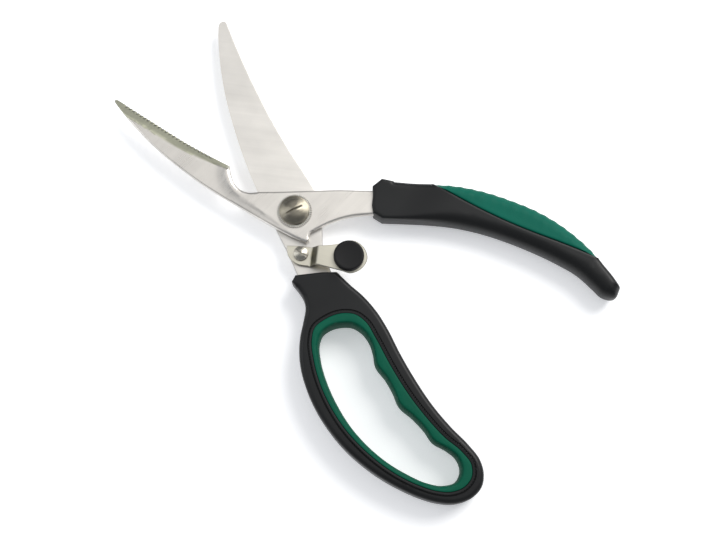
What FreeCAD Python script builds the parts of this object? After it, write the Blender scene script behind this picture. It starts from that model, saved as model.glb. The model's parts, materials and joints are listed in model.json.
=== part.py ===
import FreeCAD, Part
import math
import os
import Sketcher
from FreeCAD import Vector

# Poultry shears, lying open on a table, in millimetres.
# The origin is on the pivot axis at table height. +X runs along the middle of the open
# blades towards the tips, and +Z is up. Every blade and handle outline is drawn closed,
# with its tip along +X, and its body is then turned open by half_open.

doc = FreeCAD.newDocument("poultry_shears")

DIMENSIONS = {
    "half_open": 18.45,        # turn of each blade from the closed line, degrees
    "mating_plane": 8.0,       # height of the plane between the two blades
    "blade_gap": 0.1,
    "blade_thick": 3.2,
    "edge_land": 0.4,          # thickness left at a cutting edge
    "shell_base": 0.2,         # the black handles clear the table, the soft grips rest on it
    "shell_thick": 15.6,
    "grip_thick": 16.0,
    "neck_base": 1.75,         # the necks are thinner, so that the latch passes over them
    "neck_top": 14.25,
    "loop_round": 2.2,
    "palm_round": 3.0,
    "shoulder_radius": 3.5,    # pivot bolt, with 0.05 running clearance in the top blade
    "bore_radius": 3.55,
    "seat_radius": 3.52,
    "head_radius": 7.2,
    "head_height": 3.1,
    "head_round": 2.6,
    "head_slot_wide": 0.9,
    "head_slot_long": 8.0,
    "head_slot_deep": 1.2,
    "head_slot_turn": -102.0,
    "ring_radius": 8.3,
    "ring_thick": 1.0,
    "ring_lift": 0.1,
    "ring_knurls": 54,
    "knurl_radius": 0.28,
    "thread_radius": 3.0,
    "thread_seat": 3.02,
    "nut_radius": 7.0,
    "nut_height": 4.3,
    "nut_floor": 1.0,
    "nut_round": 0.8,
    "lock_radius": 6.4,        # spring washer between the nut and the lower blade
    "wire_radius": 0.5,        # opening spring, in a round pocket in each blade
    "coil_radius": 5.5,
    "coil_pitch": 1.05,
    "coil_turns": 1.5,
    "well_outer": 6.6,
    "well_inner": 4.4,
    "well_deep": 1.35,
    "leg_length": 1.1,
    "leg_hole": 0.6,
    "stop_radius": 1.25,       # stop pin, pressed in the lower blade
    "stop_orbit": 9.4,
    "stop_turn": 230.0,        # its direction from the pivot in the closed frame, degrees
    "stop_sweep": 36.9,
    "stop_depth": 2.4,
    "stop_rise": 1.9,
    "stop_seat": 1.26,
    "track_radius": 1.4,       # half the width of the arc slot that the pin runs in
    "track_deep": 2.0,
    "tooth_radius": 0.55,      # micro serrations
    "tooth_pitch": 2.1,
    "tooth_count": 24,
    "tooth_first": 48.5,
    "latch_x": -19.9,          # latch screw, in the lower blade's closed frame
    "latch_y": 4.2,
    "latch_turn": -117.36,     # direction of the lever from its screw
    "latch_base": 8.5,
    "latch_sheet": 1.2,
    "latch_top": 14.75,        # underside of the raised plate
    "latch_reach": 22.63,      # screw to button
    "latch_bore": 1.55,
    "screw_radius": 1.5,
    "screw_seat": 1.52,
    "screw_head": 3.5,
    "screw_head_high": 1.9,
    "screw_head_round": 1.5,
    "screw_slot": 0.9,
    "screw_slot_deep": 0.7,
    "screw_slot_turn": 202.0,
    "latch_washer": 3.4,
    "latch_play": 0.05,
    "button_radius": 7.05,
    "button_height": 3.1,
    "button_round": 0.7,
    "rivet_radius": 1.5,
    "rivet_head": 2.6,
    "rivet_height": 3.0,
    "rivet_seat": 1.52,
    "rivet_head_seat": 2.62,
}

dims = doc.addObject("Spreadsheet::Sheet", "dims")
for row, (alias, number) in enumerate(DIMENSIONS.items(), start=1):
    dims.set(f"A{row}", alias)
    dims.set(f"B{row}", str(number))
    dims.setAlias(f"B{row}", alias)
doc.recompute()

UPPER = "dims.half_open"       # turn of the top blade and of what is fixed to it
LOWER = "-dims.half_open"      # turn of the lower blade and of what is fixed to it
TOP_BASE = "dims.mating_plane + dims.blade_gap / 2"
LOW_BASE = "dims.mating_plane - dims.blade_gap / 2 - dims.blade_thick"
TOP_FACE = TOP_BASE + " + dims.blade_thick"
LOW_FACE = "dims.mating_plane - dims.blade_gap / 2"
FAR = 20.0                     # beyond any handle's face
LOOP_PIECES = 4                # joined curves that make up a closed outline


# ---------------------------------------------------------------- drawing helpers

def value(alias):
    return float(dims.get(alias))


def make_body(label, turn="0"):
    body = doc.addObject("PartDesign::Body", label)
    body.setExpression("Placement.Rotation.Angle", turn)
    return body


def make_sketch(body, name, height="0", plane="XY_Plane"):
    sketch = body.newObject("Sketcher::SketchObject", f"{body.Name}_{name}")
    base = next(item for item in body.Origin.OriginFeatures if item.Role == plane)
    sketch.AttachmentSupport = [(base, "")]
    sketch.MapMode = "FlatFace"
    sketch.setExpression("AttachmentOffset.Base.z", height)
    return sketch


def straight(sketch, *points):
    for start, end in zip(points, points[1:]):
        sketch.addGeometry(Part.LineSegment(Vector(*start, 0), Vector(*end, 0)), False)


def smooth(sketch, *points, closed=False):
    curve = Part.BSplineCurve()
    curve.interpolate([Vector(*point, 0) for point in points], PeriodicFlag=closed)
    if closed:
        add_loop(sketch, curve)
    else:
        sketch.addGeometry(curve, False)


def add_loop(sketch, curve):
    # A closed curve goes in as a few joined pieces.
    start = curve.FirstParameter
    step = (curve.LastParameter - start) / LOOP_PIECES
    for piece in range(LOOP_PIECES):
        stretch = curve.copy()
        stretch.setNotPeriodic()
        stretch.segment(start + step * piece, start + step * (piece + 1))
        sketch.addGeometry(stretch, False)


def circle(sketch, radius, centre=(0, 0)):
    number = value(radius)
    ring = Part.Circle(Vector(*centre, 0), Vector(0, 0, 1), number)
    index = sketch.addGeometry(ring, False)
    bound = sketch.addConstraint(Sketcher.Constraint("Radius", index, number))
    sketch.setExpression(f"Constraints[{bound}]", f"dims.{radius}")
    if centre == (0, 0):
        sketch.addConstraint(Sketcher.Constraint("Coincident", index, 3, -1, 1))


def rectangle(sketch, long, wide, turn=0.0, centre=(0, 0)):
    across = math.radians(turn)
    along = Vector(math.cos(across), math.sin(across), 0) * long / 2
    side = Vector(-math.sin(across), math.cos(across), 0) * wide / 2
    middle = Vector(*centre, 0)
    corners = [middle - along - side, middle + along - side,
               middle + along + side, middle - along + side]
    points = [(corner.x, corner.y) for corner in corners]
    straight(sketch, *points, points[0])


def pad(body, sketch, length):
    feature = body.newObject("PartDesign::Pad", f"{sketch.Name}_pad")
    feature.Profile = sketch
    feature.setExpression("Length", length)
    return feature


def pocket(body, sketch, length, through=False):
    # Cuts upwards from the sketch, or the same way to both sides of it.
    feature = body.newObject("PartDesign::Pocket", f"{sketch.Name}_pocket")
    feature.Profile = sketch
    if through:
        feature.SideType = "Symmetric"
    else:
        feature.Reversed = True
    feature.setExpression("Length", length)
    return feature


def disc(body, name, radius, base, length, centre=(0, 0)):
    sketch = make_sketch(body, name, base)
    circle(sketch, radius, centre)
    return pad(body, sketch, length)


def hole(body, name, radius, base, length, centre=(0, 0)):
    sketch = make_sketch(body, name, base)
    circle(sketch, radius, centre)
    return pocket(body, sketch, length)


def round_edges(body, feature, radius, wanted, kind="Fillet"):
    # Rounds (or chamfers) the edges of the last feature that the test accepts.
    doc.recompute()
    names = []
    for index, edge in enumerate(feature.Shape.Edges, start=1):
        if wanted(edge.BoundBox):
            names.append(f"Edge{index}")
    made = body.newObject(f"PartDesign::{kind}", f"{feature.Name}_{kind.lower()}")
    made.Base = (feature, names)
    made.setExpression("Radius" if kind == "Fillet" else "Size", radius)
    return made


def flat_at(height, test=lambda box: True):
    # Accepts an edge that lies level at the given height, and passes the other test.
    def wanted(box):
        return box.ZLength < 1e-4 and abs(box.ZMin - height) < 1e-3 and test(box)
    return wanted


def both_faces(base, top, test=lambda box: True):
    def wanted(box):
        return flat_at(base, test)(box) or flat_at(top, test)(box)
    return wanted


# ---------------------------------------------------------------- outlines, closed frame

def draw_serrated_blade(sketch):
    # Tip, cutting edge, bone notch, tang into the palm handle, heel hook, spine.
    smooth(sketch, (102.3, -1.1), (100.5, -1.1), (90, -1), (76, -0.9), (62, -0.9), (49, -1.6),
           (38.5, -2.4))
    smooth(sketch, (38.5, -2.4), (35, 1.3), (31.3, 3.9), (27, 4.8), (23.5, 3.9), (20.1, 1.6))
    smooth(sketch, (20.1, 1.6), (12.5, -3.3), (4, -9.1), (-4.4, -14.9), (-12, -20), (-22, -26))
    straight(sketch, (-22, -26), (-34, -33), (-46, -39))
    smooth(sketch, (-46, -39), (-57, -41.6), (-70, -43.2))
    straight(sketch, (-70, -43.2), (-71, -39))
    smooth(sketch, (-71, -39), (-58, -34.6), (-46, -28))
    straight(sketch, (-46, -28), (-31.1, -18))
    smooth(sketch, (-31.1, -18), (-22.9, -11.4), (-17, -4.3), (-12.9, 2.6))
    smooth(sketch, (-12.9, 2.6), (-11.8, 4.7), (-12.2, 6.7), (-13.2, 8))
    straight(sketch, (-13.2, 8), (-12.9, 9.9))
    smooth(sketch, (-12.9, 9.9), (-6, 10.9), (6, 11.6), (18, 12), (32, 12.3), (45, 12.2),
           (58, 11.2), (70, 9.7), (81, 7.5), (90, 5.1), (97.2, 2.7), (101.2, 1.2))
    smooth(sketch, (101.2, 1.2), (102.7, 0.4), (103, -0.4), (102.3, -1.1))


def draw_plain_blade(sketch):
    # Blunt tip, cutting edge, shank into the loop handle, spine.
    smooth(sketch, (100.4, 3.1), (97, 4.3), (90, 6.5), (78, 9.4), (65.4, 11.6), (50, 13),
           (35, 13.6), (20, 13.3), (6, 12.4), (-6, 11), (-18, 9.8), (-28, 9.2))
    smooth(sketch, (-28, 9.2), (-38, 8.6), (-48, 6))
    smooth(sketch, (-48, 6), (-50.4, 1.2), (-48, -3.6))
    smooth(sketch, (-48, -3.6), (-39, -5.8), (-28, -6.2), (-19, -7), (-11.4, -9.6), (-2, -12.2),
           (6.8, -12.6), (18, -10.4), (29.3, -8.1), (47, -5.2), (66, -3.2), (84, -2),
           (100.9, -1.6))
    smooth(sketch, (100.9, -1.6), (102.4, -0.7), (102.6, 0.8), (101.8, 2.2), (100.4, 3.1))


# One smooth loop, wide at the collar: the collar's own flats are trimmed afterwards.
PALM_SHELL = [(-38, -18.9), (-45.7, -23.8), (-56, -29.4), (-67, -34.4), (-79, -38.7),
              (-92, -41.9), (-104, -44), (-117, -45.4), (-128, -45.6), (-137, -43.9),
              (-143, -42.8), (-147.9, -45), (-147.6, -49.7), (-142, -52.4), (-135, -55),
              (-127, -57.6), (-118, -59.5), (-107, -60.6), (-96, -60.3), (-83, -58.2),
              (-70, -55), (-58, -50.5), (-47.5, -45.6), (-38.5, -40.3), (-32.1, -37.1),
              (-25, -34), (-21.5, -28), (-24.5, -20.5), (-31, -17.2)]

# The outer edge, proud of the shell, and a return path that the seam trims away.
PALM_GRIP = [(-136, -55), (-127, -58.1), (-118, -60), (-107, -61.1), (-96, -60.8),
             (-83, -58.7), (-70, -55.5), (-58, -51), (-48, -46.1), (-41.5, -41), (-41, -35),
             (-49, -32.5), (-64, -35), (-84, -39), (-104, -41.5), (-122, -43), (-134, -43.5),
             (-141, -48), (-140.5, -52.5)]

LOOP_SHELL = [(-36, 11.3), (-40.5, 10.5), (-45, 11), (-51, 14.2), (-57, 17.9), (-63, 20.6),
              (-71, 22.8), (-81, 23.6), (-91, 22.9), (-102, 20.5), (-112, 17), (-122, 11.8),
              (-130.5, 6), (-138, -0.4), (-144.4, -7), (-149.5, -14), (-152.5, -21),
              (-152.7, -28.7), (-149.4, -35), (-144, -37.9), (-138, -38.4), (-130.5, -36.2),
              (-120, -31.6), (-108, -27.4), (-94, -24.2), (-80, -22), (-68, -20.8),
              (-57.5, -18.7), (-49, -15.6), (-41.9, -11.8), (-34.8, -8.7), (-28.5, -4),
              (-25.8, 3.5), (-26.5, 10.5), (-31, 12.9)]


def draw_palm_collar_trim(sketch):
    # Everything in front of the collar's cut corners.
    straight(sketch, (-32.1, -37), (-26.4, -34.9), (-24.6, -29.4), (-27, -26), (-29.2, -21.6),
             (-31.8, -18.7), (-38, -18.7), (-38, -5), (-5, -5), (-5, -55), (-32.1, -55),
             (-32.1, -37))


PALM_SEAM = [(-47.6, -44.6), (-54, -45.7), (-64, -46.1), (-76, -47), (-88, -48.4),
             (-100, -50.4), (-112, -52.8), (-122, -54.6), (-132, -57)]


def draw_palm_seam(sketch, far):
    # The seam, closed round the side that is to go: far is beyond the handle on that side.
    smooth(sketch, *PALM_SEAM)
    straight(sketch, PALM_SEAM[-1], (-170, PALM_SEAM[-1][1]), (-170, far), (-20, far),
             (-20, PALM_SEAM[0][1]), PALM_SEAM[0])


def draw_loop_collar_trim(sketch):
    straight(sketch, (-34.8, -8.6), (-32.3, -1.7), (-29.4, 10.2), (-31.6, 12.5), (-31.6, 30),
             (-5, 30), (-5, -30), (-34.8, -30), (-34.8, -8.6))


def draw_liner_seam(sketch):
    smooth(sketch, (-54.1, -4), (-53.9, 4.5), (-56, 10.4), (-61, 13.7), (-70, 16), (-81, 17),
           (-93, 16.1), (-104, 13.6), (-115, 9.2), (-125, 3.6), (-133, -2.4), (-139.6, -8.9),
           (-144.3, -15), (-147, -21), (-147, -27.3), (-144.1, -31.9), (-139, -33.8),
           (-132, -31.9), (-123.5, -27.1), (-112.5, -22.7), (-99.5, -18.8), (-84, -15.8),
           (-70, -14), (-61.5, -12.3), (-56.6, -9), closed=True)


def draw_finger_opening(sketch):
    # Three low bumps on the side where the fingers pull.
    smooth(sketch, (-59.2, -2.5), (-58.4, 3.6), (-59.7, 7.9), (-63.5, 10.9), (-70, 12.8),
           (-81, 13.7), (-93, 12.8), (-104, 10.5), (-115, 6.2), (-125, 0.4), (-132.5, -5.6),
           (-139.2, -12.4), (-143, -19), (-143.4, -24.6), (-139.5, -28.4), (-134, -28.7),
           (-129.5, -26.3), (-123.2, -21.3), (-117, -19.7), (-110.4, -17), (-102.4, -12.9),
           (-96, -12.6), (-89.2, -11.6), (-81.6, -9.5), (-76, -10.5), (-69.6, -10.6),
           (-64, -8.7), (-60.6, -5.7), closed=True)


def draw_latch_plan(sketch):
    # In the lever's own frame: its screw at the origin, its button along +X.
    # Hooked tooth, back of the hub, edge of the raised plate, round end under the button.
    smooth(sketch, (2.4, 3.7), (-2.6, 3.5), (-7, 3.1))
    straight(sketch, (-7, 3.1), (-6.1, -1.3))
    smooth(sketch, (-6.1, -1.3), (-4.2, -3.5), (-1.1, -5.1), (4.1, -5.6), (8, -5.5),
           (14.2, -6.2), (20.4, -7.1), (24.2, -7.7), (29.2, -4.9), (31.3, 0), (29.2, 4.9),
           (23.6, 7.8), (18, 5.7), (13.4, 4.5), (7, 3.5), (2.4, 3.7))


# ---------------------------------------------------------------- the top blade

def bevel(body, face, stations):
    # A ramp cut along a cutting edge: at each station, from the bevel line on the face
    # down to the thin land at the edge. Up is +1 on a top face and -1 on an underside.
    sections = []
    for index, (x, line_y, edge_y, up) in enumerate(stations):
        sketch = make_sketch(body, f"bevel_{index}", str(x), "YZ_Plane")
        drop = up * (value("blade_thick") - value("edge_land"))
        beyond = edge_y + (edge_y - line_y) * 1.5
        depth = drop * (line_y - beyond) / (line_y - edge_y)
        straight(sketch, (line_y, face), (beyond, face - depth), (beyond, face + up),
                 (line_y, face + up), (line_y, face))
        sections.append(sketch)
    cut = body.newObject("PartDesign::SubtractiveLoft", f"{body.Name}_bevel")
    cut.Profile = sections[0]
    cut.Sections = sections[1:]
    cut.Ruled = True


def spring_well(body, base, leg_base, leg_turn):
    sketch = make_sketch(body, "well", base)
    circle(sketch, "well_outer")
    circle(sketch, "well_inner")
    pocket(body, sketch, "dims.well_deep")
    turn = math.radians(leg_turn)
    orbit = value("coil_radius")
    centre = (orbit * math.cos(turn), orbit * math.sin(turn))
    hole(body, "leg", "leg_hole", leg_base, "dims.leg_length", centre)


def make_serrated_blade():
    body = make_body("serrated_blade", UPPER)
    sketch = make_sketch(body, "outline", TOP_BASE)
    draw_serrated_blade(sketch)
    pad(body, sketch, "dims.blade_thick")
    top = value("mating_plane") + value("blade_gap") / 2 + value("blade_thick")
    bevel(body, top, [(37, -0.3, -2.7, 1), (44, 1.4, -2.2, 1), (52, 2.9, -1.6, 1),
                      (62, 4, -1.1, 1), (72, 4.5, -1.1, 1), (92, 4.4, -1.2, 1),
                      (104, 4.4, -1.3, 1)])
    hole(body, "bore", "bore_radius", TOP_BASE, "dims.blade_thick")
    coil_end = 360 * value("coil_turns")
    leg_base = TOP_BASE + " + dims.well_deep"
    spring_well(body, TOP_BASE, leg_base, coil_end - value("half_open"))
    # The arc slot that the stop pin runs in: its two ends are the ends of the travel.
    sketch = make_sketch(body, "track", TOP_BASE)
    draw_arc_slot(sketch, value("stop_orbit"), value("track_radius"),
                  value("stop_turn") - value("stop_sweep"), value("stop_turn"))
    pocket(body, sketch, "dims.track_deep")
    sketch = make_sketch(body, "serration", TOP_BASE)
    circle(sketch, "tooth_radius", (value("tooth_first"), -0.75))
    notch = pocket(body, sketch, "dims.blade_thick")
    row = body.newObject("PartDesign::LinearPattern", "serration_row")
    row.Originals = [notch]
    row.Direction = (sketch, ["H_Axis"])
    row.setExpression("Length", "dims.tooth_pitch * (dims.tooth_count - 1)")
    row.setExpression("Occurrences", "dims.tooth_count")
    body.Tip = row


def draw_arc_slot(sketch, orbit, half_width, first, last):
    start = math.radians(first)
    stop = math.radians(last)
    up = Vector(0, 0, 1)
    for radius in (orbit - half_width, orbit + half_width):
        arc = Part.ArcOfCircle(Part.Circle(Vector(), up, radius), start, stop)
        sketch.addGeometry(arc, False)
    for turn, side in ((start, -1), (stop, 1)):
        centre = Vector(orbit * math.cos(turn), orbit * math.sin(turn), 0)
        end = Part.Circle(centre, up, half_width)
        if side > 0:
            sketch.addGeometry(Part.ArcOfCircle(end, turn, turn + math.pi), False)
        else:
            sketch.addGeometry(Part.ArcOfCircle(end, turn - math.pi, turn), False)


# ---------------------------------------------------------------- the lower blade

def stop_centre():
    turn = math.radians(value("stop_turn"))
    return (value("stop_orbit") * math.cos(turn), value("stop_orbit") * math.sin(turn))


def make_plain_blade():
    body = make_body("plain_blade", LOWER)
    sketch = make_sketch(body, "outline", LOW_BASE)
    draw_plain_blade(sketch)
    pad(body, sketch, "dims.blade_thick")
    under = value("mating_plane") - value("blade_gap") / 2 - value("blade_thick")
    bevel(body, under, [(12, 11.8, 14.4, -1), (35, 9.4, 13.8, -1), (50, 8.8, 13.2, -1),
                        (65.4, 7.2, 11.8, -1), (78, 5, 9.6, -1), (90, 2.1, 6.7, -1),
                        (103, -2.2, 2.3, -1)])
    hole(body, "bore", "seat_radius", LOW_BASE, "dims.blade_thick")
    spring_well(body, LOW_FACE + " - dims.well_deep",
                LOW_FACE + " - dims.well_deep - dims.leg_length", value("half_open"))
    hole(body, "stop_hole", "stop_seat", LOW_FACE + " - dims.stop_depth", "dims.stop_depth",
         stop_centre())
    hole(body, "screw_hole", "screw_seat", LOW_BASE, "dims.blade_thick",
         (value("latch_x"), value("latch_y")))


# ---------------------------------------------------------------- the two handles

def thin_neck(body, name, start, end, near):
    # Slopes the top and underside down to the neck, from x = end to x = start.
    sketch = make_sketch(body, name, "0", "XZ_Plane")
    base = value("neck_base")
    top = value("neck_top")
    straight(sketch, (near, top), (start, top), (end, FAR), (near, FAR), (near, top))
    straight(sketch, (near, base), (start, base), (end, base + top - FAR),
             (near, base + top - FAR), (near, base))
    pocket(body, sketch, "400", through=True)


def trim(body, name, draw, *extra):
    # Cuts away everything inside the drawn outline, right through the handle.
    sketch = make_sketch(body, name)
    draw(sketch, *extra)
    pocket(body, sketch, "dims.grip_thick")


def make_rounded_block(label, turn, points, base, thick, rounding):
    body = make_body(label, turn)
    sketch = make_sketch(body, "outline", base)
    smooth(sketch, *points, closed=True)
    block = pad(body, sketch, thick)
    doc.recompute()
    box = block.Shape.BoundBox
    round_edges(body, block, rounding, both_faces(box.ZMin, box.ZMax))
    return body


def cut_tang_seat(body, draw_blade, base):
    sketch = make_sketch(body, "tang_seat", base)
    draw_blade(sketch)
    pocket(body, sketch, "dims.blade_thick")


def make_palm_handle():
    body = make_rounded_block("palm_handle", UPPER, PALM_SHELL, "dims.shell_base",
                              "dims.shell_thick", "dims.palm_round")
    trim(body, "collar", draw_palm_collar_trim)
    thin_neck(body, "neck", -42, -64, -20)
    trim(body, "rebate", draw_palm_seam, -90)
    cut_tang_seat(body, draw_serrated_blade, TOP_BASE)


def make_palm_grip():
    body = make_rounded_block("palm_grip", UPPER, PALM_GRIP, "0",
                              "dims.grip_thick", "dims.palm_round")
    trim(body, "seam", draw_palm_seam, 0)


def make_loop_handle():
    body = make_rounded_block("loop_handle", LOWER, LOOP_SHELL, "dims.shell_base",
                              "dims.shell_thick", "dims.loop_round")
    thin_neck(body, "neck", -48, -70, -20)
    trim(body, "liner_seat", draw_liner_seam)
    cut_tang_seat(body, draw_plain_blade, LOW_BASE)
    trim(body, "collar", draw_loop_collar_trim)


def make_loop_grip():
    body = make_body("loop_grip", LOWER)
    sketch = make_sketch(body, "outline")
    draw_liner_seam(sketch)
    draw_finger_opening(sketch)
    pad(body, sketch, "dims.grip_thick")


# ---------------------------------------------------------------- the pivot stack

RING_BASE = TOP_FACE + " + dims.ring_lift"
HEAD_BASE = RING_BASE + " + dims.ring_thick"


def make_pivot_bolt():
    body = make_body("pivot_bolt")
    disc(body, "thread", "thread_radius", "dims.nut_floor + 0.2",
         LOW_BASE + " - dims.nut_floor - 0.2")
    disc(body, "shoulder", "shoulder_radius", LOW_BASE, HEAD_BASE + " - (" + LOW_BASE + ")")
    head = disc(body, "head", "head_radius", HEAD_BASE, "dims.head_height")
    doc.recompute()
    crown = head.Shape.BoundBox.ZMax
    round_edges(body, head, "dims.head_round", flat_at(crown))
    sketch = make_sketch(body, "slot", HEAD_BASE + " + dims.head_height - dims.head_slot_deep")
    rectangle(sketch, value("head_slot_long"), value("head_slot_wide"), value("head_slot_turn"))
    pocket(body, sketch, "dims.head_slot_deep")


def make_knurled_ring():
    body = make_body("knurled_ring")
    sketch = make_sketch(body, "outline", RING_BASE)
    circle(sketch, "ring_radius")
    circle(sketch, "seat_radius")
    pad(body, sketch, "dims.ring_thick")
    sketch = make_sketch(body, "knurl", RING_BASE)
    circle(sketch, "knurl_radius", (value("ring_radius"), 0))
    groove = pocket(body, sketch, "dims.ring_thick")
    row = body.newObject("PartDesign::PolarPattern", "knurl_row")
    row.Originals = [groove]
    row.Axis = (sketch, ["N_Axis"])
    row.Angle = 360
    row.setExpression("Occurrences", "dims.ring_knurls")
    body.Tip = row


def make_pivot_nut():
    body = make_body("pivot_nut")
    cap = disc(body, "cap", "nut_radius", "0", "dims.nut_height")
    round_edges(body, cap, "dims.nut_round", flat_at(0))
    hole(body, "bore", "thread_seat", "dims.nut_floor", "dims.nut_height")


def make_lock_washer():
    body = make_body("lock_washer")
    sketch = make_sketch(body, "outline", "dims.nut_height")
    circle(sketch, "lock_radius")
    circle(sketch, "thread_seat")
    pad(body, sketch, LOW_BASE + " - dims.nut_height")


def make_stop_pin():
    body = make_body("stop_pin", LOWER)
    pin = disc(body, "pin", "stop_radius", LOW_FACE + " - dims.stop_depth",
               "dims.stop_depth + dims.blade_gap + dims.stop_rise", stop_centre())
    doc.recompute()
    round_edges(body, pin, "0.3", flat_at(pin.Shape.BoundBox.ZMax), "Chamfer")


def make_opening_spring():
    # One and a half turns of wire, with a straight leg at each end that stands in a hole
    # of each blade.
    helix = doc.addObject("Part::Helix", "spring_helix")
    helix.setExpression("Radius", "dims.coil_radius")
    helix.setExpression("Pitch", "dims.coil_pitch")
    helix.setExpression("Height", "dims.coil_pitch * dims.coil_turns")
    wire = doc.addObject("Part::Circle", "spring_section")
    wire.setExpression("Radius", "dims.wire_radius")
    wire.setExpression("Placement.Base.x", "dims.coil_radius")
    wire.Placement.Rotation = FreeCAD.Rotation(Vector(1, 0, 0), 90)
    doc.recompute()
    coil = doc.addObject("Part::Sweep", "spring_coil")
    coil.Sections = [wire]
    coil.Spine = (helix, ["Edge1"])
    coil.Solid = True
    coil.Frenet = True
    legs = []
    rise = value("coil_pitch") * value("coil_turns")
    for name, turn, base in (("low", 0.0, -value("leg_length")),
                             ("high", 360 * value("coil_turns"), rise)):
        leg = doc.addObject("Part::Cylinder", f"spring_leg_{name}")
        leg.setExpression("Radius", "dims.wire_radius")
        leg.setExpression("Height", "dims.leg_length")
        around = math.radians(turn)
        orbit = value("coil_radius")
        leg.Placement.Base = Vector(orbit * math.cos(around), orbit * math.sin(around), base)
        legs.append(leg)
    spring = doc.addObject("Part::MultiFuse", "opening_spring")
    spring.Shapes = [coil] + legs
    spring.setExpression("Placement.Base.z",
                         "dims.mating_plane - dims.coil_pitch * dims.coil_turns / 2")
    return spring


# ---------------------------------------------------------------- the latch

def place_latch(body):
    # The lever's frame: its screw at the origin, turned with the lower blade.
    turn = "dims.half_open"
    body.setExpression("Placement.Rotation.Angle", f"dims.latch_turn - {turn}")
    body.setExpression("Placement.Base.x",
                       f"dims.latch_x * cos({turn}) + dims.latch_y * sin({turn})")
    body.setExpression("Placement.Base.y",
                       f"dims.latch_y * cos({turn}) - dims.latch_x * sin({turn})")


def make_latch_lever():
    # Bent sheet: a low hub, a joggle up over the necks, and a raised plate.
    body = make_body("latch_lever")
    place_latch(body)
    sketch = make_sketch(body, "side", "0", "XZ_Plane")
    low = value("latch_base")
    high = value("latch_top")
    sheet = value("latch_sheet")
    foot = 4.6
    knee = 8.6
    lean = math.atan2(high - low, knee - foot)
    shift = sheet * math.tan(lean / 2)
    straight(sketch, (-14, low), (foot, low), (knee, high), (36, high), (36, high + sheet),
             (knee - shift, high + sheet), (foot - shift, low + sheet), (-14, low + sheet),
             (-14, low))
    block = pad(body, sketch, "40")
    block.SideType = "Symmetric"
    sketch = make_sketch(body, "plan")
    straight(sketch, (-20, -30), (40, -30), (40, 30), (-20, 30), (-20, -30))
    draw_latch_plan(sketch)
    pocket(body, sketch, "dims.latch_top + dims.latch_sheet")
    reach = (value("latch_reach"), 0)
    hole(body, "screw_hole", "latch_bore", "dims.latch_base", "dims.latch_sheet")
    hole(body, "rivet_hole", "rivet_seat", "dims.latch_top", "dims.latch_sheet", reach)
    hole(body, "rivet_rebate", "rivet_head_seat", "dims.latch_top", "0.6", reach)


def make_latch_button():
    body = make_body("latch_button")
    place_latch(body)
    reach = (value("latch_reach"), 0)
    seat = "dims.latch_top + dims.latch_sheet"
    knob = disc(body, "knob", "button_radius", seat, "dims.button_height", reach)
    doc.recompute()
    round_edges(body, knob, "dims.button_round", flat_at(knob.Shape.BoundBox.ZMax))
    hole(body, "rivet_bore", "rivet_seat", seat, "dims.rivet_height - dims.latch_sheet", reach)


def make_latch_rivet():
    body = make_body("latch_rivet")
    place_latch(body)
    reach = (value("latch_reach"), 0)
    disc(body, "head", "rivet_head", "dims.latch_top", "0.58", reach)
    disc(body, "shank", "rivet_radius", "dims.latch_top", "dims.rivet_height - 0.05", reach)


def make_latch_screw():
    body = make_body("latch_screw")
    place_latch(body)
    head_base = "dims.latch_base + dims.latch_sheet + dims.latch_play"
    disc(body, "shank", "screw_radius", LOW_BASE, head_base + " - (" + LOW_BASE + ")")
    head = disc(body, "head", "screw_head", head_base, "dims.screw_head_high")
    doc.recompute()
    round_edges(body, head, "dims.screw_head_round", flat_at(head.Shape.BoundBox.ZMax))
    sketch = make_sketch(body, "slot",
                         head_base + " + dims.screw_head_high - dims.screw_slot_deep")
    rectangle(sketch, 9, value("screw_slot"), value("screw_slot_turn"))
    pocket(body, sketch, "dims.screw_slot_deep")


def make_latch_washer():
    body = make_body("latch_washer")
    place_latch(body)
    sketch = make_sketch(body, "outline", LOW_FACE)
    circle(sketch, "latch_washer")
    circle(sketch, "latch_bore")
    pad(body, sketch, "dims.latch_base - dims.latch_play - (" + LOW_FACE + ")")


# ---------------------------------------------------------------- build, test, write

make_serrated_blade()
make_palm_handle()
make_palm_grip()
make_plain_blade()
make_loop_handle()
make_loop_grip()
make_pivot_bolt()
make_knurled_ring()
make_pivot_nut()
make_lock_washer()
make_stop_pin()
spring = make_opening_spring()
make_latch_lever()
make_latch_button()
make_latch_rivet()
make_latch_screw()
make_latch_washer()
doc.recompute()

sub_parts = [item for item in doc.Objects if item.TypeId == "PartDesign::Body"] + [spring]
for item in doc.Objects:
    if "Invalid" in item.State or "Error" in item.State:
        raise RuntimeError(f"{item.Label} failed: {item.State}")
    if item.TypeId == "PartDesign::Pocket":
        removed = item.BaseFeature.Shape.Volume - item.Shape.Volume
        if removed < 1e-3:
            raise RuntimeError(f"{item.Label} cut nothing")
for item in sub_parts:
    shape = item.Shape
    sound = not shape.isNull() and shape.isValid() and len(shape.Solids) == 1
    if not sound or shape.Volume <= 0:
        raise RuntimeError(f"{item.Label} is not one sound solid")

os.makedirs("parts", exist_ok=True)
for item in sub_parts:
    item.Shape.exportStep(f"parts/{item.Label}.step")
    print(f"{item.Label}: {item.Shape.Volume:.1f} mm3")
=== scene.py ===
import json
import math

import bmesh
import bpy
import numpy as np
from mathutils import Matrix, Vector
from mathutils.geometry import delaunay_2d_cdt


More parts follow.
